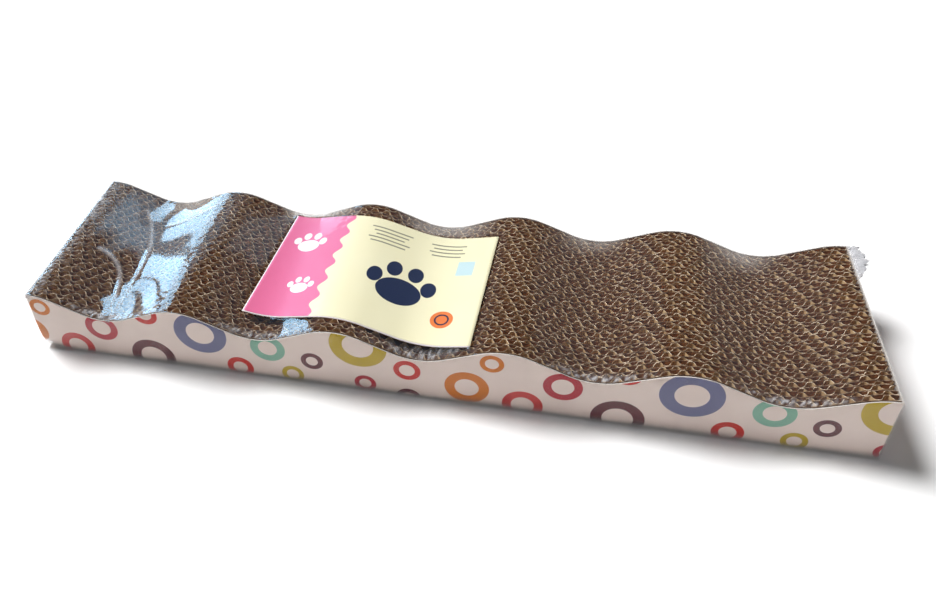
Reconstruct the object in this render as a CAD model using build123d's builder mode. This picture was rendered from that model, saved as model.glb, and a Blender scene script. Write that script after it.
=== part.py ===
# Cardboard cat scratcher: a wavy pad of corrugated strips standing on edge in a printed
# paperboard tray, with an insert card on top, all wrapped in clear shrink film.
# Millimetres. X runs along the strips, Y across them, Z up. The origin is the middle of
# the underside.

import os
from math import atan2, copysign, cos, sin, sqrt

from build123d import *

# Corrugated pad: strips of double-wall board, side by side, flutes upright
CORE_LENGTH = 467.0
STRIP_COUNT = 18
BOARD_CALIPER = 6.1
GLUE_LINE = 0.1
STRIP_HEIGHT = 42.4

# Coarse flute row of each strip, open towards the strip in front of it. The strips come in
# a few kinds, whose flutes start at different distances from the left end.
FLUTE_PITCH = 7.8
FLUTE_DEPTH = 3.6
FLUTE_START = 1.2
STRIP_KINDS = 3
FLUTE_END_MARGIN = 0.2

# Wave cut into the upper edge, with a crest at both ends. The flank steepness is the angle
# of the straight flank over the angle of the line from crest to trough.
WAVE_COUNT = 5
WAVE_DEPTH = 13.6
FLANK_STEEPNESS = 1.42

# Printed paperboard tray
TRAY_BOARD = 0.6
FOLD_RADIUS = 0.5
TAB_LENGTH = 22.0
TAB_HEIGHT = 24.0
TAB_TAPER = 4.0

# Insert card, laid over one crest and bridging the troughs beside it
CARD_LENGTH = 133.0
CARD_WIDTH = 90.0
CARD_THICKNESS = 0.4
CARD_TURN = -4.5
CARD_CREST = 2
CARD_OFFSET = 11.6
CARD_SHIFT = -2.4
CARD_LIFT = 5.0

# Shrink film, in an upper and a lower web welded round the foot of the tray
FILM_THICKNESS = 0.2

# Air between pieces that lie on or beside each other
LAY_GAP = 0.1
END_GAP = 0.3

# Sizes that follow from the ones above
half_core = CORE_LENGTH / 2
strip_pitch = BOARD_CALIPER + GLUE_LINE
core_width = STRIP_COUNT * strip_pitch - GLUE_LINE
half_wave = CORE_LENGTH / (2 * WAVE_COUNT)

tray_inner_length = CORE_LENGTH + 2 * END_GAP
tray_inner_width = core_width + 2 * (TRAY_BOARD + LAY_GAP)
tray_length = tray_inner_length + 2 * TRAY_BOARD
tray_width = tray_inner_width + 2 * TRAY_BOARD

tray_underside = FILM_THICKNESS + LAY_GAP
tray_floor = tray_underside + TRAY_BOARD
core_foot = tray_floor + LAY_GAP
crest_height = core_foot + STRIP_HEIGHT
trough_height = crest_height - WAVE_DEPTH

film_inner_length = tray_length + 2 * LAY_GAP
film_inner_width = tray_width + 2 * LAY_GAP
film_length = film_inner_length + 2 * FILM_THICKNESS
film_width = film_inner_width + 2 * FILM_THICKNESS
card_underside = LAY_GAP
film_underside = card_underside + CARD_THICKNESS + LAY_GAP


def turning_points(raised, bridged):
    """Crests and troughs from left to right, all raised, with the bridged troughs lifted."""
    points = []
    for i in range(2 * WAVE_COUNT + 1):
        z = crest_height
        if i % 2 == 1:
            z = trough_height
            if i // 2 in bridged:
                z += CARD_LIFT
        points.append((i * half_wave - half_core, z + raised))
    return points


def half_wave_arc(start, end):
    """Radius of the two equal arcs between turning points, and how far each runs and climbs."""
    run = end[0] - start[0]
    rise = end[1] - start[1]
    slope = FLANK_STEEPNESS * atan2(abs(rise), run)
    radius = (run * sin(slope) - abs(rise) * cos(slope)) / (2 * (1 - cos(slope)))
    return radius, radius * sin(slope), copysign(radius * (1 - cos(slope)), rise)


def draw_half_wave(start, end):
    """Arc, straight flank and arc from one turning point of the wave to the next."""
    radius, along, up = half_wave_arc(start, end)
    flank_start = (start[0] + along, start[1] + up)
    flank_end = (end[0] - along, end[1] - up)
    TangentArc(start, flank_start, tangent=(1, 0))
    Line(flank_start, flank_end)
    TangentArc(end, flank_end, tangent=(-1, 0))


def pad_height(x):
    """Height of the pad's wave at x, on the same arcs and flanks."""
    points = turning_points(0.0, ())
    i = min(int((x + half_core) / half_wave), len(points) - 2)
    start, end = points[i], points[i + 1]
    radius, along, up = half_wave_arc(start, end)
    from_start = x - start[0]
    from_end = end[0] - x
    if from_start < along:
        return start[1] + copysign(radius - sqrt(radius**2 - from_start**2), up)
    if from_end < along:
        return end[1] - copysign(radius - sqrt(radius**2 - from_end**2), up)
    share = (from_start - along) / (end[0] - start[0] - 2 * along)
    return start[1] + up + share * (end[1] - start[1] - 2 * up)


def wave_outline(length, foot, raised=0.0, bridged=()):
    """Side view of a wave-topped block, level at crest height past the ends of the pad."""
    points = turning_points(raised, bridged)
    left = (-length / 2, points[0][1])
    right = (length / 2, points[-1][1])
    with BuildLine() as outline:
        for start, end in zip(points, points[1:]):
            draw_half_wave(start, end)
        if length > CORE_LENGTH:
            Line(left, points[0])
            Line(points[-1], right)
        Polyline(right, (length / 2, foot), (-length / 2, foot), left)
    return outline.edges()


def flute_folds(phase):
    """Places along the strip where its coarse flutes fold, with the strip's two ends."""
    half_pitch = FLUTE_PITCH / 2
    x = phase % half_pitch - half_core
    folds = [-half_core]
    while x < half_core - FLUTE_END_MARGIN:
        if x > FLUTE_END_MARGIN - half_core:
            folds.append(x)
        x += half_pitch
    return folds + [half_core]


def flute_y(x, phase):
    """Depth of the zigzag behind the strip's front face, at x."""
    turn = ((x + half_core - phase) / FLUTE_PITCH) % 1.0
    return FLUTE_DEPTH * (1 - abs(2 * turn - 1))


os.makedirs("parts", exist_ok=True)

# Kinds of strip, front face on Y = 0: a flat back, a zigzag of open flutes along the front,
# and the wave cut straight across each flute wall
strip_kinds = []
for kind in range(STRIP_KINDS):
    phase = FLUTE_START + kind * FLUTE_PITCH / STRIP_KINDS
    folds = flute_folds(phase)
    with BuildPart() as strip_kind:
        with BuildSketch(Plane.XY.offset(core_foot)):
            with BuildLine():
                zigzag = Polyline([(x, flute_y(x, phase)) for x in folds])
                Polyline(zigzag @ 1, (half_core, BOARD_CALIPER), (-half_core, BOARD_CALIPER), zigzag @ 0)
            make_face()
        extrude(amount=STRIP_HEIGHT)
        with BuildSketch(Plane.XZ):
            with BuildLine():
                cut = Polyline([(x, pad_height(x)) for x in folds])
                Polyline(cut @ 1, (half_core, core_foot), (-half_core, core_foot), cut @ 0)
            make_face()
        extrude(amount=-BOARD_CALIPER, mode=Mode.INTERSECT)
    strip_kinds.append(strip_kind.part)

# Corrugated strips, numbered from the front
for number in range(1, STRIP_COUNT + 1):
    front = (number - 1) * strip_pitch - core_width / 2
    with BuildPart() as strip:
        with Locations((0, front, 0)):
            add(strip_kinds[number % STRIP_KINDS])
    strip.part.label = f"corrugated_strip_{number:02d}"
    export_step(strip.part, f"parts/{strip.part.label}.step")

# Printed tray: base, two long walls that follow the wave, two end walls and glue tabs
with BuildPart() as tray:
    with BuildSketch(Plane.XZ):
        make_face(wave_outline(tray_length, tray_underside))
    extrude(amount=tray_width / 2, both=True)
    fillet(tray.faces().sort_by(Axis.Z)[0].edges(), FOLD_RADIUS)
    with BuildSketch(Plane.XY.offset(tray_floor)):
        Rectangle(tray_inner_length, tray_inner_width)
    extrude(amount=crest_height, mode=Mode.SUBTRACT)
    with BuildSketch(Plane.XZ.offset(tray_inner_width / 2)) as tab:
        with BuildLine():
            end = tray_inner_length / 2
            Polyline(
                (end, tray_floor),
                (end, tray_floor + TAB_HEIGHT),
                (end - TAB_LENGTH, tray_floor + TAB_HEIGHT - TAB_TAPER),
                (end - TAB_LENGTH, tray_floor + TAB_TAPER),
                close=True,
            )
        make_face()
        mirror(about=Plane.YZ)
    extrude(amount=-TRAY_BOARD)
    with BuildSketch(Plane.XZ.offset(-tray_inner_width / 2)):
        add(tab.sketch_local)
    extrude(amount=TRAY_BOARD)
tray.part.label = "printed_tray"
export_step(tray.part, "parts/printed_tray.step")

# Insert card: a sheet that follows the wave, cut to its own turned rectangle
card_troughs = (CARD_CREST - 1, CARD_CREST)
card_centre = CARD_CREST * 2 * half_wave - half_core + CARD_OFFSET
with BuildPart() as card:
    with BuildSketch(Plane.XZ):
        make_face(wave_outline(CORE_LENGTH, core_foot, card_underside + CARD_THICKNESS, card_troughs))
    extrude(amount=core_width / 2, both=True)
    with BuildSketch(Plane.XZ):
        make_face(wave_outline(CORE_LENGTH, core_foot, card_underside, card_troughs))
    extrude(amount=core_width / 2, both=True, mode=Mode.SUBTRACT)
    with BuildSketch(Plane((card_centre, CARD_SHIFT, 0))):
        Rectangle(CARD_LENGTH, CARD_WIDTH, rotation=CARD_TURN)
    extrude(amount=2 * crest_height, mode=Mode.INTERSECT)
card.part.label = "insert_card"
export_step(card.part, "parts/insert_card.step")

# Upper web of the film: over the top and down all four sides
with BuildPart() as film_top:
    with BuildSketch(Plane.XZ):
        make_face(wave_outline(film_length, FILM_THICKNESS, film_underside + FILM_THICKNESS, card_troughs))
    extrude(amount=film_width / 2, both=True)
    with BuildSketch(Plane.XZ):
        make_face(wave_outline(film_inner_length, FILM_THICKNESS, film_underside, card_troughs))
    extrude(amount=film_inner_width / 2, both=True, mode=Mode.SUBTRACT)
film_top.part.label = "film_upper_web"
export_step(film_top.part, "parts/film_upper_web.step")

# Lower web of the film: the flat sheet that the scratcher rests on
with BuildPart() as film_base:
    with BuildSketch():
        Rectangle(film_length, film_width)
    extrude(amount=FILM_THICKNESS)
film_base.part.label = "film_lower_web"
export_step(film_base.part, "parts/film_lower_web.step")
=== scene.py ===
# %% [markdown]
# # A cardboard cat scratcher in its shrink film
# The real thing is a pad of corrugated strips standing on edge in a printed paperboard tray, with a
# card on top and clear film shrunk round it all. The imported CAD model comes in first, as a frame:
# every piece below takes its place from it, in metres, so nothing has to be fitted by eye.

# %% Load the frame
import math

import bpy
import numpy as np
from mathutils import Matrix, Vector


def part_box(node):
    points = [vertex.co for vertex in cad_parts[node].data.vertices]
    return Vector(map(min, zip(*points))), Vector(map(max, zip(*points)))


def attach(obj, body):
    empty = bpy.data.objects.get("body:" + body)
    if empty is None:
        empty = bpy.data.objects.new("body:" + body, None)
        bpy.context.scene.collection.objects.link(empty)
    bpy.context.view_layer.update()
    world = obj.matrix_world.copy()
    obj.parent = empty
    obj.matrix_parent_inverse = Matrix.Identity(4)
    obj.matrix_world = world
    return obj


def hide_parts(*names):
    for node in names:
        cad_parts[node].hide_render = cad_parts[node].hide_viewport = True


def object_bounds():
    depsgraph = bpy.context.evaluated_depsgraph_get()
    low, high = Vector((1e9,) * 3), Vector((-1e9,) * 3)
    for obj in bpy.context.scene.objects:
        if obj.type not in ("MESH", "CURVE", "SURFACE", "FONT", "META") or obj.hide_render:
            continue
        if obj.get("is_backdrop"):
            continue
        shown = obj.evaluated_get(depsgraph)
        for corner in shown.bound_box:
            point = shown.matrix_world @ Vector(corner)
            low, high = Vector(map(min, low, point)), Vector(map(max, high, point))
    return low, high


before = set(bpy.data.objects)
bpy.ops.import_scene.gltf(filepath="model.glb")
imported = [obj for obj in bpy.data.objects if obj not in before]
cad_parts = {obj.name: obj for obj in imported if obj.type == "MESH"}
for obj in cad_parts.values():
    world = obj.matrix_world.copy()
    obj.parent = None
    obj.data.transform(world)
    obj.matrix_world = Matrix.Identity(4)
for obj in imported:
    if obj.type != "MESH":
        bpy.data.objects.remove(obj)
cad_low, cad_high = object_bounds()
MM = 0.001
print("CAD box in mm:", [round(side / MM, 1) for side in cad_high - cad_low])

# %% [markdown]
# ## Small helpers
# Colours are written as sRGB hex values, the way a colour picker shows them, and Blender's nodes want
# linear light, so one function turns the one into the other. A second one adds a shader node with its
# settings and links, which keeps a long node tree readable, and a third starts an empty material. The
# last turns points and faces into a piece that rides on the frame. The parcel has been dropped on its
# front left bottom corner, and since the dent goes through every layer there, it is pushed into the
# points of each piece alike.

# %% Colour, node and piece helpers
DENT_REACH = 8.0 * MM
DENT_PUSH = np.array([0.8, 0.8, 2.6]) * MM


def linear(hex_colour):
    """Linear RGBA of an sRGB hex colour such as #C8A070."""
    channels = [int(hex_colour[i:i + 2], 16) / 255 for i in (1, 3, 5)]
    return [c / 12.92 if c <= 0.04045 else ((c + 0.055) / 1.055) ** 2.4 for c in channels] + [1.0]


def add_node(tree, kind, inputs=None, **settings):
    """A new node. Each input is a socket to link from, or a plain value."""
    made = tree.nodes.new(kind)
    for name, value in settings.items():
        setattr(made, name, value)
    for key, value in (inputs or {}).items():
        if isinstance(value, bpy.types.NodeSocket):
            tree.links.new(value, made.inputs[key])
        else:
            made.inputs[key].default_value = value
    return made


def new_material(name):
    """An empty node material, its tree and the socket for its surface."""
    material = bpy.data.materials.new(name)
    material.use_nodes = True
    tree = material.node_tree
    tree.nodes.clear()
    return material, tree, add_node(tree, "ShaderNodeOutputMaterial").inputs["Surface"]


def crush(points):
    """The points with the dented corner of the parcel pushed up and in."""
    points = np.asarray(points)
    dent = np.array([cad_low.x, cad_low.y, cad_low.z])
    nearness = np.exp(-((np.linalg.norm(points - dent, axis=1) / DENT_REACH) ** 2))
    return points + nearness[:, None] * DENT_PUSH


def add_piece(name, points, faces, nodes, sharp_from=40.0):
    """A mesh object that stands for some CAD nodes, smooth but for edges sharper than the angle."""
    mesh = bpy.data.meshes.new(name)
    mesh.from_pydata(crush(points).tolist(), [], faces)
    mesh.shade_smooth()
    mesh.set_sharp_from_angle(angle=math.radians(sharp_from))
    piece = bpy.data.objects.new(name, mesh)
    bpy.context.collection.objects.link(piece)
    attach(piece, "root")
    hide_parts(*nodes)
    return piece


print("mid grey #808080 is", round(linear("#808080")[0], 3), "in linear light")

# %% [markdown]
# ## The camera
# The photograph was taken from in front, a little to the right and about 35 degrees up. These values
# come from fitting a perspective camera to the edges of the tray and the wave. The object sits off
# the optical axis, which the lens shift takes up.

# %% Set the camera
CAMERA_PLACE = Vector((60.9, -354.6, 377.0)) * MM
CAMERA_AZIMUTH = math.radians(14.55)
CAMERA_ELEVATION = math.radians(35.31)
CAMERA_ROLL = math.radians(-4.03)
LENS_MM = 31.87
LENS_SHIFT = (0.1003, -0.1454)
NEAREST = 10 * MM

camera = bpy.data.objects.new("camera", bpy.data.cameras.new("camera"))
bpy.context.collection.objects.link(camera)
camera.data.lens = LENS_MM
camera.data.shift_x, camera.data.shift_y = LENS_SHIFT
camera.data.clip_start = NEAREST
turn = Matrix.Rotation(CAMERA_AZIMUTH, 4, "Z")
tilt = Matrix.Rotation(math.pi / 2 - CAMERA_ELEVATION, 4, "X")
roll = Matrix.Rotation(CAMERA_ROLL, 4, "Z")
camera.matrix_world = Matrix.Translation(CAMERA_PLACE) @ turn @ tilt @ roll
bpy.context.scene.camera = camera
print("camera stands", round(CAMERA_PLACE.length, 3), "m from the origin")

# %% [markdown]
# ## The wave
# The upper edge of pad and tray is one die-cut wave with five troughs. Each half wave is an arc, a
# straight flank and the same arc turned over, so its height follows from the distance to the nearest
# crest alone. Pad, tray, card and film all ask this one function, so they stay in step.

# %% Measure the pad and shape the wave
WAVE_COUNT = 5
WAVE_DEPTH = 13.6 * MM
FLANK_STEEPNESS = 1.42

pad_low, pad_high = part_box("corrugated_strip_01")
half_core = pad_high.x
pad_foot = pad_low.z
crest_height = pad_high.z
half_wave = half_core / WAVE_COUNT


def wave_height(x, depth=WAVE_DEPTH):
    """Height of a wave with this depth at x, level at crest height past the ends of the pad."""
    slope = FLANK_STEEPNESS * math.atan2(depth, half_wave)
    radius = half_wave * math.sin(slope) - depth * math.cos(slope)
    radius /= 2 * (1 - math.cos(slope))
    reach = radius * math.sin(slope)
    x = np.clip(x, -half_core, half_core)
    from_crest = np.abs((x + half_core + half_wave) % (2 * half_wave) - half_wave)
    from_trough = half_wave - from_crest
    crest_arc = radius - np.sqrt(radius**2 - np.minimum(from_crest, reach) ** 2)
    trough_arc = radius - np.sqrt(radius**2 - np.minimum(from_trough, reach) ** 2)
    flank = np.clip(from_crest - reach, 0, half_wave - 2 * reach) * math.tan(slope)
    return crest_height - np.where(from_trough < reach, depth - trough_arc, crest_arc + flank)


print("crests at", round(crest_height / MM, 1), "mm, troughs at", round(wave_height(0.0).item() / MM, 1))

# %% [markdown]
# ## Corrugated strips
# Each strip is double-wall board: three flat liners with a coarse and a fine fluted medium between
# them, cut across so that the open flutes face up. A bump map can't give flutes that one looks down
# into, so every sheet is modelled as a thin upright wall along its own line, a straight one for a
# liner and a wave for a medium. Each wall has four corners per step, and its top follows the die cut.
# The flutes of each strip lie the same share of a flute further along than those of the strip in
# front, as if all were cut from one long board. Pitch, depth and cut wander a little besides, from one
# seeded generator.

# %% One upright sheet of paper
def skin_rings(rings):
    """Faces of a closed bar through rings of four corners, with both ends capped."""
    count = len(rings)
    faces = [(0, 3, 2, 1), tuple(4 * (count - 1) + k for k in range(4))]
    for i in range(0, 4 * (count - 1), 4):
        faces += [(i + k, i + (k + 1) % 4, i + 4 + (k + 1) % 4, i + 4 + k) for k in range(4)]
    return faces


def upright_sheet(x, y, thickness, top):
    """Corners and faces of a paper wall that stands on the pad's foot along the line of x and y."""
    across = np.stack([-np.gradient(y), np.gradient(x)], axis=1)
    across *= thickness / 2 / np.linalg.norm(across, axis=1, keepdims=True)
    line = np.stack([x, y], axis=1)
    foot = np.full(len(x), pad_foot)
    corners = [(line - across, foot), (line + across, foot), (line + across, top), (line - across, top)]
    rings = np.stack([np.column_stack(corner) for corner in corners], axis=1)
    return rings.reshape(-1, 3), skin_rings(rings)


print("a bar through 3 rings has", len(skin_rings(range(3))), "faces")

# %% Double-wall board, sheet by sheet
LINER = 0.17 * MM
MEDIUM = 0.24 * MM
COARSE_PITCH = 7.8 * MM
FINE_PITCH = 6.5 * MM
# Share of the room between the liners that the coarse medium takes
COARSE_SHARE = 0.59
# Presses the sine of a flute flatter at its crests and steeper at its flanks
FLANK_SHARPNESS = 2.0
STEPS_PER_FLUTE = 10
LINER_STEP = 4.0 * MM
CUT_WANDER = 0.12 * MM
# Shift from strip to strip, and wander along a strip, as angles where a full turn is one flute. Each
# length is the stretch in which its wave turns by one radian.
FLUTE_SHIFT = math.radians(0.42 * 360)
SLOW_WANDER = 0.35
SLOW_LENGTH = 31.0 * MM
QUICK_WANDER = 0.2
QUICK_LENGTH = 7.0 * MM
# Twice this share is the most that a flute loses of its depth
SWELL = 0.1
SWELL_LENGTH = 12.0 * MM
STRIP_NAMES = sorted(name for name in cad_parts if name.startswith("corrugated_strip"))
chance = np.random.default_rng(seed=11)


def flute_line(pitch, room, start):
    """A medium's line along the strip: x, and y about its middle, with a wandering pitch and depth."""
    x = np.arange(-half_core, half_core, pitch / STEPS_PER_FLUTE)
    slow, quick, swell = chance.uniform(0, 2 * math.pi, 3)
    wander = SLOW_WANDER * np.sin(x / SLOW_LENGTH + slow) + QUICK_WANDER * np.sin(x / QUICK_LENGTH + quick)
    depth = (room - MEDIUM) / 2 * (1 - SWELL * (1 + np.sin(x / SWELL_LENGTH + swell)))
    swing = np.sin(2 * math.pi * x / pitch + start + wander)
    return x, depth * np.tanh(FLANK_SHARPNESS * swing) / math.tanh(FLANK_SHARPNESS)


def board_sheets(front, caliper, start):
    """The five sheets of one strip as (x, y, thickness), from its front face back."""
    coarse_room = (caliper - 3 * LINER) * COARSE_SHARE
    fine_room = (caliper - 3 * LINER) * (1 - COARSE_SHARE)
    liner_x = np.arange(-half_core, half_core + LINER_STEP / 2, LINER_STEP).clip(-half_core, half_core)
    y = front
    sheets = []
    for room, pitch in ((coarse_room, COARSE_PITCH), (fine_room, FINE_PITCH)):
        sheets.append((liner_x, np.full_like(liner_x, y + LINER / 2), LINER))
        y += LINER
        x, sway = flute_line(pitch, room, start)
        sheets.append((x, y + room / 2 + sway, MEDIUM))
        y += room
    sheets.append((liner_x, np.full_like(liner_x, y + LINER / 2), LINER))
    return sheets


flute_counts = [round(2 * half_core / pitch) for pitch in (COARSE_PITCH, FINE_PITCH)]
print("coarse and fine flutes along a strip:", flute_counts)

# %% Build the strips
strips = []
for number, name in enumerate(STRIP_NAMES):
    low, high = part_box(name)
    points, faces, liner_side = [], [], []
    for x, y, thickness in board_sheets(low.y, high.y - low.y, number * FLUTE_SHIFT):
        top = wave_height(x) - np.abs(chance.normal(0, CUT_WANDER, len(x)))
        corners, walls = upright_sheet(x, y, thickness, top)
        first = sum(len(block) for block in points)
        points.append(corners)
        faces += [tuple(first + corner for corner in wall) for wall in walls]
        liner_side += [int(thickness == LINER)] * len(walls)
    strips.append(add_piece(name.replace("corrugated", "fluted"), np.concatenate(points), faces,
                            [name]))
print(len(strips), "strips of", len(strips[0].data.polygons), "faces each")

# %% [markdown]
# ## Recycled kraft board
# The paper is unbleached recycled kraft, pressed and dried on a roll: dull, brown and mottled by clumps
# of fibre. Where the die has cut across it, the edge is crushed dark in places and torn pale in others,
# and the dark tone on these upward faces is also painted shade, so that they catch less of the sun than
# the walls do.
# Light that falls into a flute bounces from wall to wall and comes out warmer, which the renderer does
# by itself once the flutes are real. So the material only needs the mottle, the uneven cut edge where
# the face looks up, and a little tooth. The fluted medium is a light straw paper, and the liners are
# made from darker waste, so the same tree is built twice, with other colours. Both are pushed further
# apart than the papers are: the medium paler, as a painted highlight on its sunlit walls, and the liners
# darker, as painted shade in the flute holes.

# %% Kraft materials
FIBRE_CLUMP = 3.0 * MM
TORN_STRETCH = 2.5 * MM
# Real fibres are finer than a pixel, so the paper's tooth is drawn several times as coarse
PAPER_TOOTH = 0.5 * MM
TOOTH_HEIGHT = 0.08 * MM
# How far a normal has to point up before its face counts as cut, from not at all to wholly
CUT_FROM = 0.5
CUT_FULL = 0.8


def two_tone(tree, size, detail, low, high, dark, light):
    """Noise of this size over the piece, turned into a colour from the dark to the light tone."""
    place = add_node(tree, "ShaderNodeTexCoord").outputs["Object"]
    noise = add_node(tree, "ShaderNodeTexNoise", {"Vector": place, "Scale": 1 / size, "Detail": detail})
    ramp = add_node(tree, "ShaderNodeValToRGB", {"Fac": noise.outputs["Fac"]})
    for stop, position, colour in zip(ramp.color_ramp.elements, (low, high), (dark, light)):
        stop.position = position
        stop.color = linear(colour)
    return ramp.outputs[0]


def kraft_paper(name, dark, light, crushed_and_painted_shade, torn):
    """Mottled paper, with crushed and torn tones on its upward cut faces, the dark one also painted shade.
    """
    paper, tree, surface = new_material(name)
    mottle = two_tone(tree, FIBRE_CLUMP, detail=4.0, low=0.3, high=0.7, dark=dark, light=light)
    # Tone of the cut faces: crushed and torn fibre, and its dark part is also painted shade on these upward
    # faces
    cut_tone_with_painted_shade = two_tone(tree, TORN_STRETCH, detail=2.0, low=0.45, high=0.62, dark=crushed_and_painted_shade, light=torn)
    normal = add_node(tree, "ShaderNodeNewGeometry").outputs["Normal"]
    upward = add_node(tree, "ShaderNodeSeparateXYZ", {0: normal}).outputs["Z"]
    cut = add_node(tree, "ShaderNodeMapRange", {"Value": upward, "From Min": CUT_FROM, "From Max": CUT_FULL})
    colour = add_node(tree, "ShaderNodeMix", {0: cut.outputs[0], 6: mottle, 7: cut_tone_with_painted_shade}, data_type="RGBA")
    place = add_node(tree, "ShaderNodeTexCoord").outputs["Object"]
    tooth = add_node(tree, "ShaderNodeTexNoise", {"Vector": place, "Scale": 1 / PAPER_TOOTH, "Detail": 2.0})
    bump = add_node(tree, "ShaderNodeBump", {"Height": tooth.outputs["Fac"], "Strength": 0.4,
                                             "Distance": TOOTH_HEIGHT})
    board = add_node(tree, "ShaderNodeBsdfPrincipled", {"Base Color": colour.outputs[2], "Roughness": 0.88,
                                                        "IOR": 1.47, "Normal": bump.outputs[0]})
    tree.links.new(board.outputs[0], surface)
    return paper


# Medium paler and liners darker than their papers: painted highlight on the sunlit walls and painted
# shade in the flute holes, which is what draws the flutes to the eye
pale_medium_with_painted_highlight = kraft_paper("straw_fluting_paper_painted_highlight", "#E0B684", "#FFE2AE", "#7C6650", "#F6E4CA")
dark_liner_with_painted_shade = kraft_paper("recycled_liner_paper_painted_shade", "#72513F", "#926D56", "#5C483A", "#A48C76")
for strip in strips:
    strip.data.materials.append(pale_medium_with_painted_highlight)
    strip.data.materials.append(dark_liner_with_painted_shade)
    strip.data.polygons.foreach_set("material_index", liner_side)
print("two papers on", len(strips), "strips,", sum(liner_side), "liner faces each")

# %% [markdown]
# ## The printed tray
# The tray is one blank of coated paperboard: a base, two long walls whose upper edge is cut to the
# wave, two end walls and four glue tabs inside the corners. Its wall is a closed band, so it is made
# as rings of points round the outline, one ring for each level from the underside up the outside,
# over the cut rim and down the inside. The length run along the outline goes into a UV map in metres,
# with zero at the front left corner, so that the print runs round the corners as on the flat blank.

# %% Outline of the tray
TRAY_BOARD = 0.6 * MM
CORNER_RADIUS = 1.0 * MM
CORNER_STEPS = 4
WALL_STEP = 3.0 * MM
tray_low, tray_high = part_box("printed_tray")


def box_outline(half_x, half_y, radius):
    """Points round a rectangle with rounded corners, counter-clockwise from the rear left corner."""
    corners = [(-1, 1, 90), (-1, -1, 180), (1, -1, 270), (1, 1, 0)]
    points = []
    for side_x, side_y, start in corners:
        middle = np.array([side_x * (half_x - radius), side_y * (half_y - radius)])
        angles = np.radians(start + np.linspace(0, 90, CORNER_STEPS + 1))
        points += list(middle + radius * np.column_stack([np.cos(angles), np.sin(angles)]))
        ahead = np.array([-math.sin(angles[-1]), math.cos(angles[-1])])
        wall = 2 * abs(ahead @ (half_x - radius, half_y - radius))
        # The tray's own size sets the count, so that every outline has as many points
        count = round(2 * abs(ahead @ (tray_high.x, tray_high.y)) / WALL_STEP)
        points += [points[-1] + ahead * wall * k / count for k in range(1, count)]
    return np.array(points)


def tray_outline(inset):
    """The tray's outline, moved in by the inset."""
    return box_outline(tray_high.x - inset, tray_high.y - inset, CORNER_RADIUS - inset)


outline = tray_outline(0.0)
print(len(outline), "points round the tray")

# %% Walls, rim and floor
FOLD_RADIUS = 0.5 * MM
FOLD_INSETS = (FOLD_RADIUS, 0.3 * FOLD_RADIUS)
# Shares of the wall's height, closer together at the foot where the dent is
WALL_LEVELS = (0.05, 0.1, 0.18, 0.3, 0.5, 0.75, 1.0)

around = len(outline)
rim = wave_height(outline[:, 0])
foot = tray_low.z + FOLD_RADIUS
levels = []
for inset in FOLD_INSETS:
    fold_z = foot - math.sqrt(FOLD_RADIUS**2 - (FOLD_RADIUS - inset) ** 2)
    levels.append((tray_outline(inset), np.full(around, fold_z)))
levels.append((outline, np.full(around, foot)))
levels += [(outline, foot + (rim - foot) * share) for share in WALL_LEVELS]
# The faces so far are the outside of the wall, which is printed
printed_faces = (len(levels) - 1) * around
inside = tray_outline(TRAY_BOARD)
levels += [(inside, rim), (inside, np.full(around, tray_low.z + TRAY_BOARD))]
tray_points = np.concatenate([np.column_stack(level) for level in levels])

steps = np.linalg.norm(np.roll(outline, -1, axis=0) - outline, axis=1)
run = np.concatenate([[0.0], np.cumsum(steps)])
run -= run[np.argmin(outline.sum(axis=1))]
tray_faces, corner_run = [], []
for row in range(len(levels) - 1):
    for i in range(around):
        here, there = row * around + i, row * around + (i + 1) % around
        tray_faces.append((here, there, there + around, here + around))
        corner_run += [run[i], run[i + 1], run[i + 1], run[i]]
last_row = len(tray_points) - around
tray_faces += [tuple(range(around))[::-1], tuple(range(last_row, len(tray_points)))]
print("tray wall has", len(tray_faces), "faces, print runs", round((run[-1] - run[0]) / MM), "mm round it")

# %% Glue tabs, then the piece and its unrolled map
TAB_LENGTH = 22.0 * MM
TAB_HEIGHT = 24.0 * MM
TAB_TAPER = 4.0 * MM
inner_x = tray_high.x - TRAY_BOARD
inner_y = tray_high.y - TRAY_BOARD
tab_floor = tray_low.z + TRAY_BOARD
tab_top = tab_floor + TAB_HEIGHT
tab_end = inner_x - TAB_LENGTH
tab = [(inner_x, tab_floor), (inner_x, tab_top), (tab_end, tab_top - TAB_TAPER),
       (tab_end, tab_floor + TAB_TAPER)]
tab_sides = (inner_y, inner_y - TRAY_BOARD)
for side_x in (1, -1):
    for side_y in (1, -1):
        rings = np.array([[(side_x * x, side_y * y, z) for x, z in tab] for y in tab_sides])
        if side_x * side_y < 0:
            rings = rings[::-1]
        tray_faces += [tuple(len(tray_points) + corner for corner in face) for face in skin_rings(rings)]
        tray_points = np.concatenate([tray_points, rings.reshape(-1, 3)])

tray = add_piece("printed_tray_blank", tray_points, tray_faces, ["printed_tray"])
unrolled = np.zeros((len(tray.data.loops), 2))
unrolled[:len(corner_run), 0] = corner_run
unrolled[:, 1] = tray_points[[corner for face in tray_faces for corner in face], 2]
tray.data.uv_layers.new(name="unrolled").data.foreach_set("uv", unrolled.ravel())
print("tray piece has", len(tray.data.polygons), "faces")

# %% [markdown]
# ## Ring print on coated board
# The blank is white-lined chipboard: a clay-coated white face, smooth enough to print on, over grey
# recycled stock that shows at the cut rim and inside. The print is plain rings in eight inks, and the
# same stretch of it repeats round the tray. Each ring is a distance test on the unrolled map, wrapped
# at the repeat: no image is needed, and the edges stay sharp at any size.

# %% White-lined chipboard with rings
# Sizes on the print are in millimetres. It repeats along the wall but not up it, so there it wraps at
# a height that the wall never reaches.
PRINT_REPEAT = 267.2
NO_REPEAT = 1000.0
COAT_MOTTLE = 9.0
INKS = {"orange": "#D2761C", "rose": "#CA4240", "crimson": "#B42C3A", "red": "#CC322A",
        "plum": "#663238", "slate": "#6C6C90", "teal": "#84B49E", "olive": "#C0A42C"}
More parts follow.
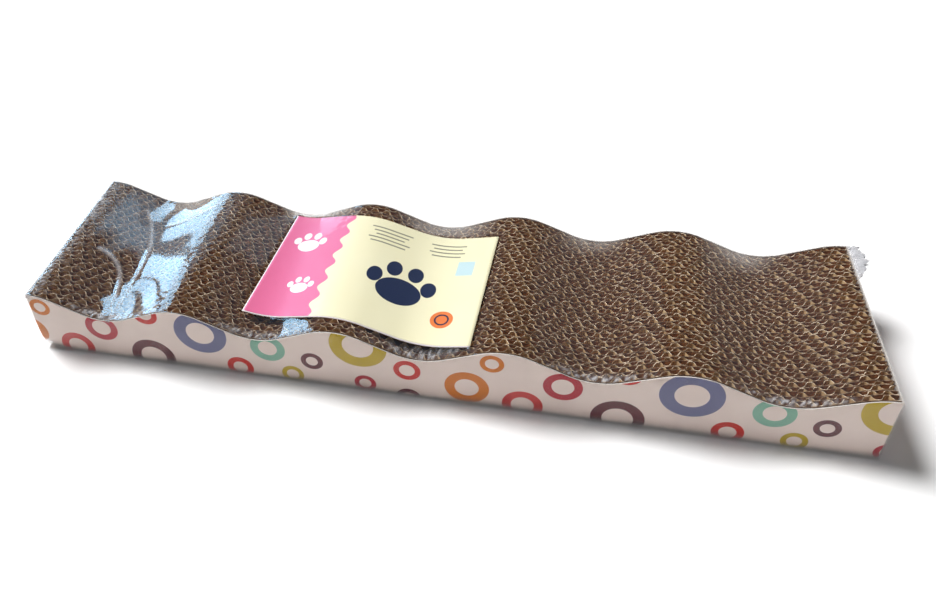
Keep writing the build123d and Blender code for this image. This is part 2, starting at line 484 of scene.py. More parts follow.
# Centre along the print and up the wall, outer and inner radius, and ink
RINGS = [(7.0, 34.8, 6.5, 3.7, "orange"), (-6.2, 13.5, 12.2, 6.6, "orange"),
         (24.1, 5.1, 11.0, 6.2, "rose"), (44.4, 23.8, 10.3, 5.9, "crimson"),
         (75.6, 39.7, 7.8, 4.4, "red"), (74.0, 4.4, 14.0, 8.1, "plum"),
         (108.0, 29.7, 15.9, 8.5, "slate"), (129.0, 5.4, 8.1, 4.4, "red"),
         (148.0, 24.5, 10.3, 5.6, "teal"), (161.0, 5.4, 6.6, 3.7, "olive"),
         (173.6, 18.4, 6.5, 3.5, "plum"), (201.2, 35.5, 16.2, 8.8, "olive"),
         (203.8, 5.9, 6.3, 3.5, "crimson"), (228.1, 21.0, 7.6, 4.4, "red"),
         (228.5, -1.5, 7.3, 4.2, "plum")]

printed, tree, surface = new_material("white_lined_chipboard_offset_printed")
tray_map = add_node(tree, "ShaderNodeUVMap", uv_map="unrolled").outputs[0]
in_mm = add_node(tree, "ShaderNodeVectorMath", {0: tray_map, "Scale": 1 / MM}, operation="SCALE").outputs[0]
mottle = add_node(tree, "ShaderNodeTexNoise", {"Vector": in_mm, "Scale": 1 / COAT_MOTTLE, "Detail": 3.0})
coat = add_node(tree, "ShaderNodeMix", {0: mottle.outputs["Fac"], 6: linear("#EAD7CD"),
                                        7: linear("#F1DFD6")}, data_type="RGBA").outputs[2]
half_repeat = (PRINT_REPEAT / 2, NO_REPEAT, 1)
for along, up, outer, inner, ink in RINGS:
    offset = add_node(tree, "ShaderNodeVectorMath", {0: in_mm, 1: (along, up, 0)}, operation="SUBTRACT")
    wrapped = add_node(tree, "ShaderNodeVectorMath", {0: offset.outputs[0], 1: half_repeat,
                                                      2: [-side for side in half_repeat]}, operation="WRAP")
    away = add_node(tree, "ShaderNodeVectorMath", {0: wrapped.outputs[0]}, operation="LENGTH")
    inked = add_node(tree, "ShaderNodeMath", {0: away.outputs["Value"], 1: (outer + inner) / 2,
                                              2: (outer - inner) / 2}, operation="COMPARE")
    coat = add_node(tree, "ShaderNodeMix", {0: inked.outputs[0], 6: coat, 7: linear(INKS[ink])},
                    data_type="RGBA").outputs[2]
# Clay-coated paper is smooth but hardly shiny, so the rings look flat and even
face = add_node(tree, "ShaderNodeBsdfPrincipled", {"Base Color": coat, "Roughness": 0.5, "IOR": 1.5,
                                                   "Specular IOR Level": 0.15})
tree.links.new(face.outputs[0], surface)
tray.data.materials.append(printed)
print(len(RINGS), "rings in each", PRINT_REPEAT, "mm of print")

# %% Grey stock at the rim and inside
STOCK_SPECK = 0.8 * MM

stock, tree, surface = new_material("grey_recycled_chipboard_cut")
place = add_node(tree, "ShaderNodeTexCoord").outputs["Object"]
speck = add_node(tree, "ShaderNodeTexNoise", {"Vector": place, "Scale": 1 / STOCK_SPECK, "Detail": 3.0})
grey = add_node(tree, "ShaderNodeMix", {0: speck.outputs["Fac"], 6: linear("#B9B2AB"),
                                        7: linear("#D5CFC9")}, data_type="RGBA")
# Raw recycled stock is dull, and its specks of old print read as grey
raw = add_node(tree, "ShaderNodeBsdfPrincipled", {"Base Color": grey.outputs[2], "Roughness": 0.8,
                                                  "IOR": 1.47})
tree.links.new(raw.outputs[0], surface)
tray.data.materials.append(stock)
stock_side = np.ones(len(tray.data.polygons), dtype=np.int32)
underside = (len(levels) - 1) * around
stock_side[:printed_faces] = 0
stock_side[underside] = 0
tray.data.polygons.foreach_set("material_index", stock_side)
print(int(stock_side.sum()), "tray faces show grey stock")

# %% [markdown]
# ## The insert card
# A stiff printed card lies loose under the film, over one crest, and bridges the troughs on both
# sides, so it bends in one direction only. It is a grid of points in the card's own length and width,
# turned a few degrees, that takes its height from a shallower wave, and a Solidify modifier gives it
# its thickness. The grid's own coordinates become the map for the print.

# %% Bend the card over its crest
CARD_LENGTH = 133.0 * MM
CARD_WIDTH = 90.0 * MM
CARD_THICKNESS = 0.4 * MM
CARD_TURN = math.radians(-4.5)
CARD_LIFT = 5.0 * MM
LAY_GAP = 0.1 * MM
CARD_STEP = 2.0 * MM
card_low, card_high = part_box("insert_card")
card_middle = (card_low + card_high) / 2


def card_top(x):
    """Height of the card's upper face at x."""
    return wave_height(x, WAVE_DEPTH - CARD_LIFT) + LAY_GAP + CARD_THICKNESS


def grid_faces(rows, columns):
    """Quads of a grid whose points run along the columns first."""
    return [(i * columns + j, (i + 1) * columns + j, (i + 1) * columns + j + 1, i * columns + j + 1)
            for i in range(rows - 1) for j in range(columns - 1)]


def thicken(piece, thickness):
    """Solidify a sheet inwards from its outer face."""
    solid = piece.modifiers.new("thickness", "SOLIDIFY")
    solid.thickness = thickness
    solid.offset = -1


card_along = np.linspace(0, CARD_LENGTH, round(CARD_LENGTH / CARD_STEP) + 1)
card_across = np.linspace(0, CARD_WIDTH, round(CARD_WIDTH / CARD_STEP) + 1)
along, across = (side.ravel() for side in np.meshgrid(card_along, card_across, indexing="ij"))
from_middle = np.column_stack([along - CARD_LENGTH / 2, across - CARD_WIDTH / 2])
turned = from_middle @ np.array(Matrix.Rotation(CARD_TURN, 2)).T + np.array(card_middle)[:2]
card_points = np.column_stack([turned, card_top(turned[:, 0])])
card = add_piece("insert_card_sheet", card_points, grid_faces(len(card_along), len(card_across)),
                 ["insert_card"])
card_uv = np.column_stack([along, across])[[corner.vertex_index for corner in card.data.loops]]
card.data.uv_layers.new(name="card").data.foreach_set("uv", card_uv.ravel())
thicken(card, CARD_THICKNESS)
print("card of", len(card_points), "points, lifted", CARD_LIFT / MM, "mm over the troughs")

# %% [markdown]
# ## Print on the card
# The card is stiff coated card with a flat offset print. Its design is a plain one: a pink end
# with a wavy edge, a cream field, paw prints, a ball, a few ruled lines and a pale block. A paw is five
# ellipses and a rule is a rectangle, so one loop can lay them all down in order, each as a test on the
# card's map.

# %% Motifs of the card
CARD_INKS = {"navy": "#222C49", "pink": "#DC6C96", "white": "#F6EEF0", "orange": "#E07B43",
             "grey": "#8F8E7C", "blue": "#BFD9DF"}
# Sizes on the print are in millimetres from the card's front left corner
TOP_RULE = 82.0
RULE_SPACING = 3.2
HALF_RULE = 0.55
half_length = CARD_LENGTH / MM / 2
half_width = CARD_WIDTH / MM / 2


def paw(along, across, size, ink):
    """One pad and four toes, each as its shape, place along and across, half sizes and ink."""
    toes = [(-0.95, 0.45), (-0.38, 1.0), (0.38, 1.0), (0.95, 0.45)]
    prints = [("ellipse", along, across, 0.78 * size, 0.6 * size, ink)]
    for x, y in toes:
        prints.append(("ellipse", along + x * size, across + y * size, 0.27 * size, 0.36 * size, ink))
    return prints


motifs = paw(18, 62, 9, "white") + paw(26, 24, 7, "white") + paw(84, 34, 17, "navy")
# Ball
for radius, ink in ((6.5, "orange"), (4.2, "navy"), (3.2, "orange")):
    motifs.append(("ellipse", 113, 20, radius, radius, ink))
# Two columns of ruled lines, each with longer and shorter ones
for along, lines, longest, lengths in ((68, 5, 13, 3), (104, 4, 11, 2)):
    for line in range(lines):
        half_line = longest - 2 * (line % lengths)
        motifs.append(("block", along, TOP_RULE - RULE_SPACING * line, half_line, HALF_RULE, "grey"))
# Pale block, then the bare white edges at the front and the left end
motifs.append(("block", 118, 62, 5, 6, "blue"))
motifs.append(("block", half_length, 0, half_length, 0.8, "white"))
motifs.append(("block", 0, half_width, 0.6, half_width, "white"))
print(len(motifs), "motifs on the card")

# %% Coated card material
PINK_END = 40.0
PINK_WAVE = 14.0
PINK_SWAY = 2.0
CREAM_CLOUD = 30.0

card_print, tree, surface = new_material("coated_card_offset_printed")
card_map = add_node(tree, "ShaderNodeUVMap", uv_map="card").outputs[0]
in_mm = add_node(tree, "ShaderNodeVectorMath", {0: card_map, "Scale": 1 / MM}, operation="SCALE").outputs[0]
sides = add_node(tree, "ShaderNodeSeparateXYZ", {0: in_mm})
swing = add_node(tree, "ShaderNodeMath", {0: sides.outputs["Y"], 1: 2 * math.pi / PINK_WAVE},
                 operation="MULTIPLY")
swing = add_node(tree, "ShaderNodeMath", {0: swing.outputs[0]}, operation="SINE")
border = add_node(tree, "ShaderNodeMath", {0: swing.outputs[0], 1: PINK_SWAY, 2: PINK_END},
                  operation="MULTIPLY_ADD")
pink = add_node(tree, "ShaderNodeMath", {0: sides.outputs["X"], 1: border.outputs[0]},
                operation="LESS_THAN")
cloud = add_node(tree, "ShaderNodeTexNoise", {"Vector": in_mm, "Scale": 1 / CREAM_CLOUD, "Detail": 2.0})
cream = add_node(tree, "ShaderNodeMix", {0: cloud.outputs["Fac"], 6: linear("#EAE4BE"),
                                         7: linear("#EEEACB")}, data_type="RGBA")
colour = add_node(tree, "ShaderNodeMix", {0: pink.outputs[0], 6: cream.outputs[2],
                                          7: linear(CARD_INKS["pink"])}, data_type="RGBA").outputs[2]
for shape, along, across, half_along, half_across, ink in motifs:
    offset = add_node(tree, "ShaderNodeVectorMath", {0: in_mm, 1: (along, across, 0)}, operation="SUBTRACT")
    scaled = add_node(tree, "ShaderNodeVectorMath", {0: offset.outputs[0], 1: (half_along, half_across, 1)},
                      operation="DIVIDE").outputs[0]
    if shape == "ellipse":
        away = add_node(tree, "ShaderNodeVectorMath", {0: scaled}, operation="LENGTH").outputs["Value"]
    else:
        size = add_node(tree, "ShaderNodeVectorMath", {0: scaled}, operation="ABSOLUTE")
        parts = add_node(tree, "ShaderNodeSeparateXYZ", {0: size.outputs[0]})
        away = add_node(tree, "ShaderNodeMath", {0: parts.outputs["X"], 1: parts.outputs["Y"]},
                        operation="MAXIMUM").outputs[0]
    inked = add_node(tree, "ShaderNodeMath", {0: away, 1: 1.0}, operation="LESS_THAN")
    colour = add_node(tree, "ShaderNodeMix", {0: inked.outputs[0], 6: colour, 7: linear(CARD_INKS[ink])},
                      data_type="RGBA").outputs[2]
# Coated card is smoother than the tray, so its inks are brighter and a lamp leaves a soft sheen on it
face = add_node(tree, "ShaderNodeBsdfPrincipled", {"Base Color": colour, "Roughness": 0.38, "IOR": 1.5})
tree.links.new(face.outputs[0], surface)
card.data.materials.append(card_print)
print("card print laid down in", len(tree.nodes), "nodes")

# %% [markdown]
# ## The shape of the film
# Shrink film pulls itself tight over what it wraps. Over each trough it leaves the pad and spans the
# gap like a soap film: high in the middle, down to the wall at both sides. That shape can be drawn by
# eye, but it is easier to let it settle: every point of a grid moves to the mean of its neighbours,
# over and over, and stops where the pad or the card holds it up. The film pulls harder across the pad
# than along it, so the neighbours across count more.

# %% Let the film settle
FILM_EDGE = 1.2 * MM
FILM_GRID = 1.25 * MM
FILM_REST = 0.35 * MM
PULL_ALONG = 0.35
SETTLE_ROUNDS = 6000
film_low, film_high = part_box("film_upper_web")


def film_line(low, high):
    """Even grid lines over the film's top, inside its rounded edges."""
    steps = round((high - low - 2 * FILM_EDGE) / FILM_GRID)
    return np.linspace(low + FILM_EDGE, high - FILM_EDGE, steps + 1)


flat_x = film_line(film_low.x, film_high.x)
flat_y = film_line(film_low.y, film_high.y)
grid_x, grid_y = np.meshgrid(flat_x, flat_y, indexing="ij")
from_card = np.stack([grid_x - card_middle.x, grid_y - card_middle.y], axis=-1)
from_card = np.abs(from_card @ np.array(Matrix.Rotation(CARD_TURN, 2)))
card_reach = np.array([CARD_LENGTH, CARD_WIDTH]) / 2 + FILM_GRID
over_card = (from_card < card_reach).all(axis=-1)
support = wave_height(grid_x) + FILM_REST
support = np.where(over_card, np.maximum(support, card_top(grid_x) + LAY_GAP), support)
# The film starts level, and its border stays where it turns down over the walls
film = np.full_like(support, crest_height + FILM_REST)
film[:, [0, -1]] = support[:, [0, -1]]
for _ in range(SETTLE_ROUNDS):
    lengthwise = film[2:, 1:-1] + film[:-2, 1:-1]
    crosswise = film[1:-1, 2:] + film[1:-1, :-2]
    mean = (PULL_ALONG * lengthwise + crosswise) / (2 * PULL_ALONG + 2)
    film[1:-1, 1:-1] = np.maximum(mean, support[1:-1, 1:-1])
lift = film - support
print("film spans the troughs up to", round(lift.max() / MM, 1), "mm above what it wraps")

# %% [markdown]
# ## Creases and dimples
# Where the film lies on the flutes it takes their dimples, which break a reflection into sparks. Where
# it spans a trough it is slack and carries a few soft creases. Along the walls of a trough there is
# more film than edge, so it puckers there. All three are small heights added to the settled film. The
# creases are kept for later too, for a painted highlight along them.

# %% Dimple and crease the film
# Height over which the film goes from clinging to hanging free
CLING_GAP = 0.25 * MM
DIMPLE = 0.06 * MM
DIMPLE_LENGTH = 5.5 * MM
SLACK = 0.12 * MM
SLACK_LENGTH = 26.0 * MM
CREASE_HEIGHT = 0.3 * MM
CREASE_WIDTH = 0.9 * MM
CREASE_STEPS = 60
# Start, bend and end of each crease on the pad, in millimetres
CREASES = [((-201, 38), (-170, -1), (-184, -56)), ((-213, -7), (-187, -14), (-186, -46)),
           ((-180, 24), (-165, 30), (-146, 50))]


def ripple(wavelength, waves):
    """Random waves over the film, of 0.7 to 1.3 times this length, mostly between -1 and 1."""
    total = np.zeros_like(grid_x)
    for way, start, size in zip(*chance.uniform(0, 1, (3, waves))):
        turn = 2 * math.pi * way
        wave_number = 2 * math.pi / (wavelength * (0.7 + 0.6 * size))
        distance = grid_x * math.cos(turn) + grid_y * math.sin(turn)
        total += np.sin(wave_number * distance + 2 * math.pi * start)
    return total / math.sqrt(waves)


free = 1 - np.exp(-lift / CLING_GAP)
film += (1 - free) * DIMPLE * ripple(DIMPLE_LENGTH, 7) + free * SLACK * ripple(SLACK_LENGTH, 5)
folded = np.zeros_like(film)
t = np.linspace(0, 1, CREASE_STEPS)[:, None]
for start, bend, end in CREASES:
    path = ((1 - t) ** 2 * start + 2 * t * (1 - t) * np.array(bend) + t**2 * end) * MM
    away = np.min([np.hypot(grid_x - x, grid_y - y) for x, y in path], axis=0)
    fold = np.exp(-((away / CREASE_WIDTH) ** 2))
    film += free * CREASE_HEIGHT * fold
    folded = np.maximum(folded, fold)
print(len(CREASES), "creases, highest point of the film", round(film.max() / MM, 1), "mm")

# %% Pucker the film along the walls
PUCKER = 0.35 * MM
PUCKER_LENGTH = 5.0 * MM
PUCKER_FADE = 4.0 * MM


def trough_share(x):
    """How deep the wave lies at x, from 0 on a crest to 1 in a trough."""
    return (crest_height - wave_height(x)) / WAVE_DEPTH


from_wall = np.minimum(flat_y - film_low.y, film_high.y - flat_y)
pucker = PUCKER * trough_share(flat_x) * np.abs(ripple(PUCKER_LENGTH, 5)[:, 0])
film += pucker[:, None] * np.exp(-from_wall / PUCKER_FADE)
print("puckers up to", round(pucker.max() / MM, 2), "mm high")

# %% [markdown]
# ## The upper web
# The film's top turns down over rounded edges into four skirts that reach the lower web. The settled
# grid gets a few rows round its border that follow a quarter circle, and rings of points under that
# border make the skirts, which are gathered beside the troughs. One corner at the rear right keeps the
# loose ear of film that the sealing bar leaves, drawn out of the same points and crumpled by chance.

# %% Rounded edges
EDGE_ANGLES = np.radians([0, 22.5, 45, 67.5])


def with_edges(flat, low, high):
    """Grid lines with the edge rows added, and how high each line stands on its quarter circle."""
    inset = FILM_EDGE * (1 - np.cos(EDGE_ANGLES))
    rise = np.sin(EDGE_ANGLES)
    lines = np.concatenate([low + inset, flat, (high - inset)[::-1]])
    return lines, np.concatenate([rise, np.ones(len(flat)), rise[::-1]])


def over_edges(values):
    """Values on the settled grid, carried on over the edge rows."""
    return np.pad(values, len(EDGE_ANGLES), mode="edge")


lines_x, rise_x = with_edges(flat_x, film_low.x, film_high.x)
lines_y, rise_y = with_edges(flat_y, film_low.y, film_high.y)
top_x, top_y = np.meshgrid(lines_x, lines_y, indexing="ij")
top_z = over_edges(film) - FILM_EDGE * (1 - np.outer(rise_x, rise_y))
film_points = [np.stack([top_x, top_y, top_z], axis=-1).reshape(-1, 3)]
film_faces = grid_faces(*top_z.shape)
print("film's top has", len(film_faces), "faces")

# %% Skirts
SKIRT_SHARES = (0.05, 0.12, 0.22, 0.36, 0.55, 0.78, 1.0)
# Stretches in which the gathers, and the drift of their spacing, turn by one radian
GATHER = 0.9 * MM
GATHER_DRIFT = 7.0 * MM

index = np.arange(top_z.size).reshape(top_z.shape)
# Border of the grid, counter-clockwise from the front left corner
loop = np.concatenate([index[:, 0], index[-1, 1:], index[-2::-1, -1], index[0, -2:0:-1]])
border = film_points[0][loop]
outward = np.zeros_like(border)
for axis in (0, 1):
    outward[:, axis] = np.sign(border[:, axis]) * np.isclose(np.abs(border[:, axis]), film_high[axis])
slack = PUCKER * trough_share(border[:, 0])
slack *= np.abs(np.sin(border[:, 0] / GATHER + 2 * np.sin(border[:, 0] / GATHER_DRIFT)))
above = loop
for share in SKIRT_SHARES:
    skirt = border.copy()
    skirt[:, 2] += share * (film_low.z - border[:, 2])
    skirt += outward * (slack * (1 - share) ** 2)[:, None]
    below = sum(len(block) for block in film_points) + np.arange(len(loop))
    quads = np.column_stack([above, below, np.roll(below, -1), np.roll(above, -1)])
    film_faces += [tuple(quad) for quad in quads.tolist()]
    film_points.append(skirt)
    above = below
film_points = np.concatenate(film_points)
print(len(SKIRT_SHARES), "rings of", len(loop), "points make the skirts")

# %% Loose ear
EAR_LENGTH = 28.0 * MM
EAR_REACH = 9.0 * MM
EAR_DROP = 5.0 * MM
EAR_ROUNDING = math.radians(144)
# Shares of the reach: which way the ear points, and how far its crumples stray along each axis
EAR_OUTWARD = (1.0, 0.1, 0.0)
CRUMPLE = (0.8, 0.5, 0.3)
CRUMPLE_SPREAD = 0.18

down = (crest_height - film_points[:, 2]) / EAR_DROP
past_start = (film_points[:, 1] - film_high.y) / EAR_LENGTH + 1
near_end = (film_points[:, 0] - film_high.x) / FILM_EDGE + 1
ear = np.clip(1 - np.abs(down), 0, 1) * np.clip(near_end, 0, 1)
ear *= np.sin(EAR_ROUNDING * np.clip(past_start, 0, 1))
crumple = chance.normal(0, CRUMPLE_SPREAD, (len(film_points), 3)) * CRUMPLE + EAR_OUTWARD
film_points += EAR_REACH * ear[:, None] * crumple
print("ear stands out", round((film_points[:, 0].max() - film_high.x) / MM, 1), "mm")

# %% [markdown]
# ## Gloss and white marks
# The film doesn't look the same all over, so its points carry two numbers for the material to read, which
# come from the same sizes as its shape. Gloss is the share of light that it mirrors towards an eye that it
# faces: a few percent where it hangs free, less where it clings to the board, and least on the smooth
# card. The second number is how white the film is drawn: in the crumpled ear, where it has gone white,
# as a painted highlight along the creases, and as painted glints in specks at the left end and along the
# front rim of the troughs. A speck is as wide as a step of the grid, which is coarser than on real film,
# so that it shows.

# %% Mark gloss and white
FACING_GLOSS = 0.04
CLINGING_GLOSS = 0.012
CARD_GLOSS = 0.003
# Painted glints: white specks at the left end and along the front rim of the troughs
LEFT_GLINT_REACH = 4.0 * MM
RIM_GLINT_PLACE = 3.0 * MM
RIM_GLINT_WIDTH = 1.5 * MM
RIM_GLINT_SHARE = 0.75
# A high power leaves few specks that are white and many that are nearly clear
GLINT_POWER = 3
# Painted highlight: how white the film is drawn along the creases
CREASE_PAINTED_HIGHLIGHT = 0.26
# Least white in the ear, what chance adds to it, and the share of the ear's reach where it is all there
EAR_WHITE = 0.2
EAR_SPECKS = 0.6
EAR_FADE = 1 / 3

top_gloss = np.where(over_card, CARD_GLOSS, CLINGING_GLOSS + free * (FACING_GLOSS - CLINGING_GLOSS))
gloss = np.full(len(film_points), CLINGING_GLOSS)
gloss[:index.size] = over_edges(top_gloss).ravel()
speck = chance.uniform(0, 1, len(film_points))
# Painted glints: white specks along the rim of the troughs and at the left end, in place of mirrored sparks
from_rim = (top_y - film_low.y - RIM_GLINT_PLACE) / RIM_GLINT_WIDTH
at_rim = RIM_GLINT_SHARE * trough_share(top_x) ** 2 * np.exp(-(from_rim**2))
at_left = np.exp(-(top_x - film_low.x) / LEFT_GLINT_REACH)
painted_glints = np.maximum(at_left, at_rim).ravel() * speck[:index.size] ** GLINT_POWER
# Painted highlight along the creases
crease_highlight = CREASE_PAINTED_HIGHLIGHT * over_edges(folded).ravel()
# White in the crumpled ear, with the painted glints and the painted crease highlight added on top
white_and_painted_light = np.clip(ear / EAR_FADE, 0, 1) * (EAR_WHITE + EAR_SPECKS * speck)
white_and_painted_light[:index.size] += np.maximum(painted_glints, crease_highlight)
print("white share up to", round(white_and_painted_light.max(), 2), "and", round(white_and_painted_light.mean(), 3), "on average")

# %% Both webs of the film
FILM_THICKNESS = 0.08 * MM
# Only edges sharper than this stay hard, in degrees
FILM_SHARP = 60.0

upper_film = add_piece("film_upper_sheet", film_points, film_faces, ["film_upper_web"],
                       FILM_SHARP)
for name, values in (("gloss", gloss), ("white_and_painted_light", white_and_painted_light)):
    upper_film.data.attributes.new(name, "FLOAT", "POINT").data.foreach_set("value", values)
thicken(upper_film, FILM_THICKNESS)
base_low, base_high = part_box("film_lower_web")
base = box_outline(base_high.x, base_high.y, CORNER_RADIUS)
count = len(base)
base_points = [np.column_stack([base, np.full(count, z)]) for z in (base_low.z, base_high.z)]
base_faces = [(i, (i + 1) % count, count + (i + 1) % count, count + i) for i in range(count)]
base_faces += [tuple(range(count))[::-1], tuple(range(count, 2 * count))]
lower_film = add_piece("film_lower_sheet", np.concatenate(base_points), base_faces, ["film_lower_web"])
print("upper film has", len(film_faces), "faces, lower film", len(base_faces))

# %% [markdown]
# ## Clear shrink film
# The film is clear polyolefin, blown and stretched thin: no colour of its own and a hard gloss. It is too
# thin to bend light, so it is a mix of nothing at all and a mirror. How much of the mirror shows depends
# on the angle: the gloss of the points where the film faces the eye, and more and more as it turns away,
# which is the usual fifth-power rule for clear plastic. Where the points are marked white, a white scuffed
# plastic is mixed in: light scattered inside the crumpled ear, and painted highlights and glints along the
# creases, at the left end and on the front rim.

# %% Film material
GRAZING_POWER = 5.0

clear_film, tree, surface = new_material("clear_polyolefin_film_shrunk")
facing = add_node(tree, "ShaderNodeAttribute", attribute_name="gloss").outputs["Fac"]
turned_away = add_node(tree, "ShaderNodeLayerWeight", {"Blend": 0.5}).outputs["Facing"]
grazing = add_node(tree, "ShaderNodeMath", {0: turned_away, 1: GRAZING_POWER}, operation="POWER")
share = add_node(tree, "ShaderNodeMath", {0: grazing.outputs[0], 1: facing}, operation="ADD",
                 use_clamp=True)
clear = add_node(tree, "ShaderNodeBsdfTransparent")
mirror = add_node(tree, "ShaderNodeBsdfPrincipled", {"Base Color": linear("#FFFFFF"), "Metallic": 1.0,
                                                     "Roughness": 0.08})
glossy = add_node(tree, "ShaderNodeMixShader", {0: share.outputs[0], 1: clear.outputs[0],
                                                2: mirror.outputs[0]})
# White where marked: scatter in the crumpled ear, and painted highlights and glints on creases, left end and
# rim
white = add_node(tree, "ShaderNodeAttribute", attribute_name="white_and_painted_light").outputs["Fac"]
scuffed_white_and_painted_light = add_node(tree, "ShaderNodeBsdfPrincipled", {"Base Color": linear("#DCDCE0"), "Roughness": 0.25,
                                                      "IOR": 1.5})
marked = add_node(tree, "ShaderNodeMixShader", {0: white, 1: glossy.outputs[0], 2: scuffed_white_and_painted_light.outputs[0]})
tree.links.new(marked.outputs[0], surface)
for piece in (upper_film, lower_film):
    piece.data.materials.append(clear_film)
print("film on", upper_film.name, "and", lower_film.name)

# %% [markdown]
# ## Floor and daylight
# The ground is white, with a soft shadow to the right. A broad sun from the left and behind gives that
# shadow and leaves the front wall in soft shade. It is hidden from mirrors, because the film would show
# it as a spot. The floor is matt white, and glows a little where it is looked at. The world is an even
# white dome for everything that it lights. What the camera and the film see of it is white near the
# horizon and a dim blue-grey overhead, as a ceiling is, so that the film stays clear instead of milky.

# %% Floor
FLOOR_SIZE = 12.0
FLOOR_GAP = 0.2 * MM
FLOOR_GLOW = 0.03


def seen_directly(tree):
    """1 where the camera looks, straight, in a mirror or through glass, and 0 for light on other things."""
    path = add_node(tree, "ShaderNodeLightPath")
    seen = path.outputs["Is Camera Ray"]
    for ray in ("Is Glossy Ray", "Is Transmission Ray"):
        either = add_node(tree, "ShaderNodeMath", {0: seen, 1: path.outputs[ray]}, operation="MAXIMUM")
        seen = either.outputs[0]
    return seen


floor_z = cad_low.z - FLOOR_GAP
half_floor = FLOOR_SIZE / 2
quarters = ((-1, -1), (1, -1), (1, 1), (-1, 1))
corners = [(x * half_floor, y * half_floor, floor_z) for x, y in quarters]
floor_mesh = bpy.data.meshes.new("floor")
floor_mesh.from_pydata(corners, [], [(0, 1, 2, 3)])
floor = bpy.data.objects.new("floor", floor_mesh)
bpy.context.collection.objects.link(floor)
floor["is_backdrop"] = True
pale, tree, surface = new_material("matt_white_floor")
sheet = add_node(tree, "ShaderNodeBsdfDiffuse", {"Color": linear("#F6F6F6")})
level = add_node(tree, "ShaderNodeMath", {0: seen_directly(tree), 1: FLOOR_GLOW}, operation="MULTIPLY")
glow = add_node(tree, "ShaderNodeEmission", {"Strength": level.outputs[0]})
lifted = add_node(tree, "ShaderNodeAddShader", {0: sheet.outputs[0], 1: glow.outputs[0]})
tree.links.new(lifted.outputs[0], surface)
floor_mesh.materials.append(pale)
print("floor at", round(floor_z / MM, 2), "mm")

# %% World
DOME_LEVEL = 0.12
CEILING = "#6C7688"
# Heights above the horizon where the ceiling starts and where it is all there
CEILING_FROM = math.radians(10)
CEILING_FULL = math.radians(25)

world = bpy.data.worlds.new("studio")
bpy.context.scene.world = world
world.use_nodes = True
tree = world.node_tree
tree.nodes.clear()
direction = add_node(tree, "ShaderNodeTexCoord").outputs["Generated"]
rise = add_node(tree, "ShaderNodeSeparateXYZ", {0: direction}).outputs["Z"]
overhead = add_node(tree, "ShaderNodeMapRange", {"Value": rise, "From Min": math.sin(CEILING_FROM),
                                                 "From Max": math.sin(CEILING_FULL)})
room = add_node(tree, "ShaderNodeMix", {0: overhead.outputs[0], 6: linear("#FFFFFF"), 7: linear(CEILING)},
                data_type="RGBA")
backdrop = add_node(tree, "ShaderNodeBackground", {"Color": room.outputs[2], "Strength": 1.0})
dome = add_node(tree, "ShaderNodeBackground", {"Color": linear("#FFFFFF"), "Strength": DOME_LEVEL})
mixed = add_node(tree, "ShaderNodeMixShader", {0: seen_directly(tree), 1: dome.outputs[0],
                                               2: backdrop.outputs[0]})
add_node(tree, "ShaderNodeOutputWorld", {"Surface": mixed.outputs[0]})
print("dome at", DOME_LEVEL)

# %% Sun
SUN_TOWARDS = Vector((-0.52, 0.22, 0.825))
SUN_LEVEL = 4.1
SUN_WIDTH = math.radians(22)


def add_lamp(light, towards):
    """A lamp that shines from this direction."""
    lamp = bpy.data.objects.new(light.name, light)
    lamp.rotation_mode = "QUATERNION"
    lamp.rotation_quaternion = (-towards).to_track_quat("-Z", "Y")
    bpy.context.collection.objects.link(lamp)
    return lamp


sunlight = bpy.data.lights.new("sun", "SUN")
sunlight.energy = SUN_LEVEL
sunlight.angle = SUN_WIDTH
sun = add_lamp(sunlight, SUN_TOWARDS)
sun.visible_glossy = False
bpy.context.scene.view_settings.view_transform = "Standard"
print("sun stands", round(math.degrees(math.asin(SUN_TOWARDS.normalized().z))), "degrees high")

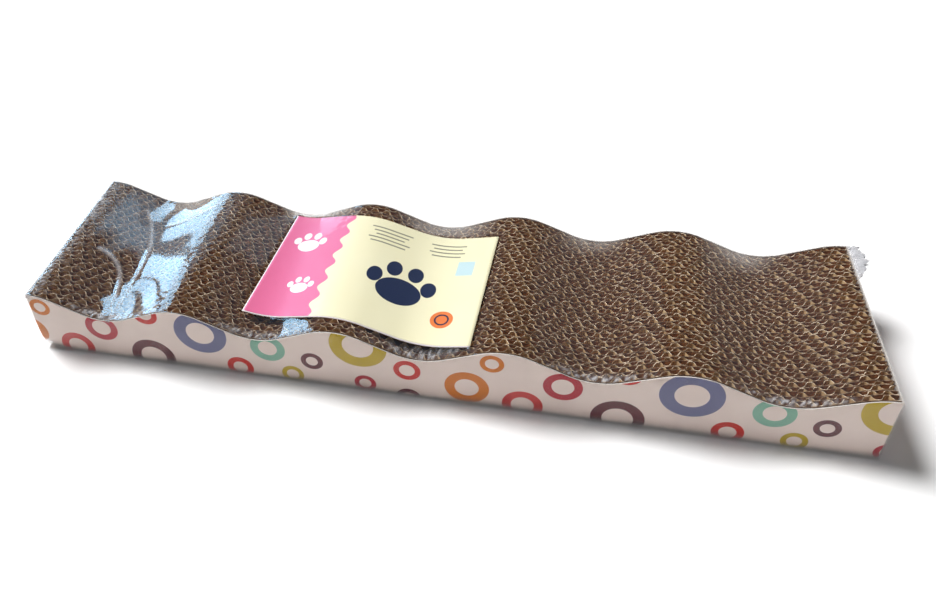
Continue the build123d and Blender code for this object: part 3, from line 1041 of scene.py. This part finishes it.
# %% [markdown]
# ## A window in the film
# What shows that there is film at all is the window that it mirrors. The film mirrors only a few
# percent, so the window's panes are bright area lights, which the camera doesn't see and which light no
# matt surface. Each is given by the angles at which it stands, seen from the place on the pad where its
# reflection lies. Three dim panes, one within the other, make the haze at the left end, which so gets a
# soft edge.

# %% Window panes
PANE_COLOUR = "#B0DEFF"
# Edges left of the back, lower and upper edge above the horizon, in degrees, then radiance. TROUGH and
# SLOPE are the places on the pad that they are seen from.
WINDOW = [(17, 28, 10, 26, 4.5), (31, 42.5, 6, 24.5, 6.2), (44.3, 53.5, 8, 38, 9.8),
          (55, 61.5, 8, 52, 9.2), (63, 80, 16, 66, 8.6)]
WINDOW_DISTANCE = 0.5
TROUGH = Vector((-165, 0, 40)) * MM
HAZE = [(-8, 30, 36, 50, 0.9), (-20, 42, 26, 53, 0.65), (-34, 46, 16, 56, 0.45)]
HAZE_DISTANCE = 0.16
SLOPE = Vector((-215, 25, 40)) * MM

panes = [(*pane, WINDOW_DISTANCE, TROUGH) for pane in WINDOW]
panes += [(*pane, HAZE_DISTANCE, SLOPE) for pane in HAZE]
for number, (near, far, low, high, radiance, distance, seen_from) in enumerate(panes, 1):
    azimuth = math.radians((near + far) / 2)
    elevation = math.radians((low + high) / 2)
    level_towards = Vector((-math.sin(azimuth), math.cos(azimuth), 0))
    towards = math.cos(elevation) * level_towards + Vector((0, 0, math.sin(elevation)))
    light = bpy.data.lights.new(f"pane_{number}", "AREA")
    light.shape = "RECTANGLE"
    light.size = 2 * distance * math.tan(math.radians(far - near) / 2) * math.cos(elevation)
    light.size_y = 2 * distance * math.tan(math.radians(high - low) / 2)
    light.color = linear(PANE_COLOUR)[:3]
    light.energy = radiance * math.pi * light.size * light.size_y
    pane = add_lamp(light, towards)
    pane.location = seen_from + distance * towards
    pane.visible_camera = False
    pane.visible_diffuse = False
print(len(panes), "panes round the left end")

# %% [markdown]
# ## The size of the dressed scratcher
# The dressed scratcher has to stay the size of the CAD model, whose box is printed at the start, so its
# own box is printed here.

# %% Print the visual box
low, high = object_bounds()
print("visual box in mm:", [round(side / MM, 1) for side in high - low])
